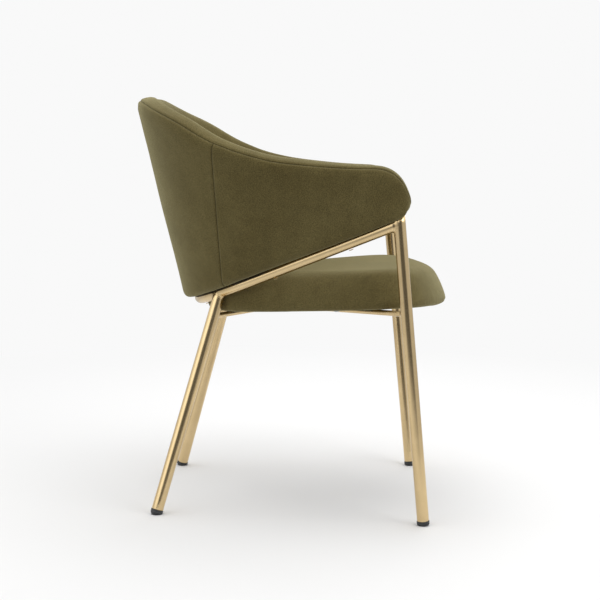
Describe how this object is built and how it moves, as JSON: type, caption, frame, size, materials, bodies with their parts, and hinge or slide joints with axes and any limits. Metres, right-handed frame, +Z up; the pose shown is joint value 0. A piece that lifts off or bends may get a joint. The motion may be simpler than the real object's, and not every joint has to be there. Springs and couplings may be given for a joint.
{
  "type": "dining chair",
  "caption": "Upholstered barrel-back dining chair with a padded seat and rolled shell on a splayed brass-coloured tube frame.",
  "frame": {"origin": "on the floor, under the middle of the chair's bounding box", "axes": "+Z up, +X towards the sitter's left, and the sitter faces -Y"},
  "size_m": [0.586, 0.6044, 0.7758],
  "materials": {
    "brass": "brushed",
    "velvet": "velvet pile",
    "foam": "open-cell upholstery foam, hidden",
    "plywood": "unfinished plywood, hidden",
    "fibre_cloth": "black non-woven lining",
    "zinc": "zinc plated",
    "black_plastic": "moulded, satin"
  },
  "bodies": {
    "root": {"foot_glide_front_left": "black_plastic", "foot_glide_front_right": "black_plastic", "foot_glide_rear_left": "black_plastic", "foot_glide_rear_right": "black_plastic", "front_leg_left": "brass", "front_leg_right": "brass", "rear_leg_left": "brass", "rear_leg_right": "brass", "back_rail": "brass", "brace_long": "brass", "brace_front_left": "brass", "brace_rear_right": "brass", "seat_tab_front_left": "brass", "seat_washer_front_left": "zinc", "seat_bolt_front_left": "zinc", "seat_tee_nut_front_left": "zinc", "seat_tab_front_right": "brass", "seat_washer_front_right": "zinc", "seat_bolt_front_right": "zinc", "seat_tee_nut_front_right": "zinc", "seat_tab_rear_left": "brass", "seat_washer_rear_left": "zinc", "seat_bolt_rear_left": "zinc", "seat_tee_nut_rear_left": "zinc", "seat_tab_rear_right": "brass", "seat_washer_rear_right": "zinc", "seat_bolt_rear_right": "zinc", "seat_tee_nut_rear_right": "zinc", "seat_board": "plywood", "seat_foam": "foam", "seat_dust_cloth": "fibre_cloth", "seat_cover": "velvet", "shell_bolt_left_1": "brass", "shell_insert_left_1": "zinc", "shell_bolt_left_2": "brass", "shell_insert_left_2": "zinc", "shell_bolt_left_3": "brass", "shell_insert_left_3": "zinc", "shell_bolt_right_1": "brass", "shell_insert_right_1": "zinc", "shell_bolt_right_2": "brass", "shell_insert_right_2": "zinc", "shell_bolt_right_3": "brass", "shell_insert_right_3": "zinc", "shell_base_strip": "fibre_cloth", "shell_base_rail": "plywood", "shell_core": "plywood", "outer_padding": "foam", "inner_padding": "foam", "inner_cover": "velvet", "outer_back_panel": "velvet", "outer_side_panel_left": "velvet", "outer_side_panel_right": "velvet"}
  },
  "joints": []
}
